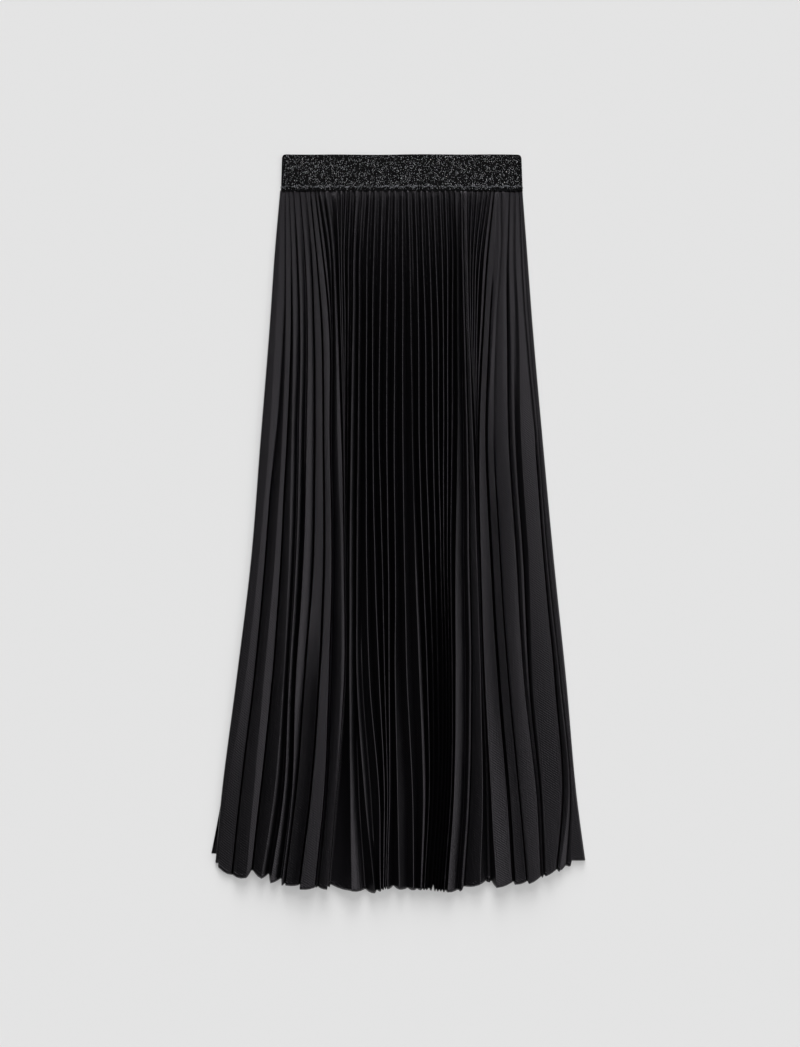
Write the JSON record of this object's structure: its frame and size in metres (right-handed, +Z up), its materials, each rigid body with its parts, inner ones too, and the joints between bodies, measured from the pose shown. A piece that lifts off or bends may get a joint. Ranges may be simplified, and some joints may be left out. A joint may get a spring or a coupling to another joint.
{
  "type": "pleated skirt",
  "caption": "Long black satin skirt lying flat, its pleated front panel over its pleated back panel, on a wide flattened elastic waistband.",
  "frame": {"origin": "middle of the underside of the skirt's box, on the surface it lies on", "axes": "+Y from hem to waistband, +X across the skirt, +Z up from the surface, with the front panel on top"},
  "size_m": [0.4971, 0.9806, 0.0231],
  "materials": {
    "satin": "black satin with a soft sheen",
    "metallic_elastic": "black rib knit with silver metallic yarn"
  },
  "bodies": {
    "root": {"skirt_front": "satin", "skirt_back": "satin", "waistband": "metallic_elastic"}
  },
  "joints": []
}
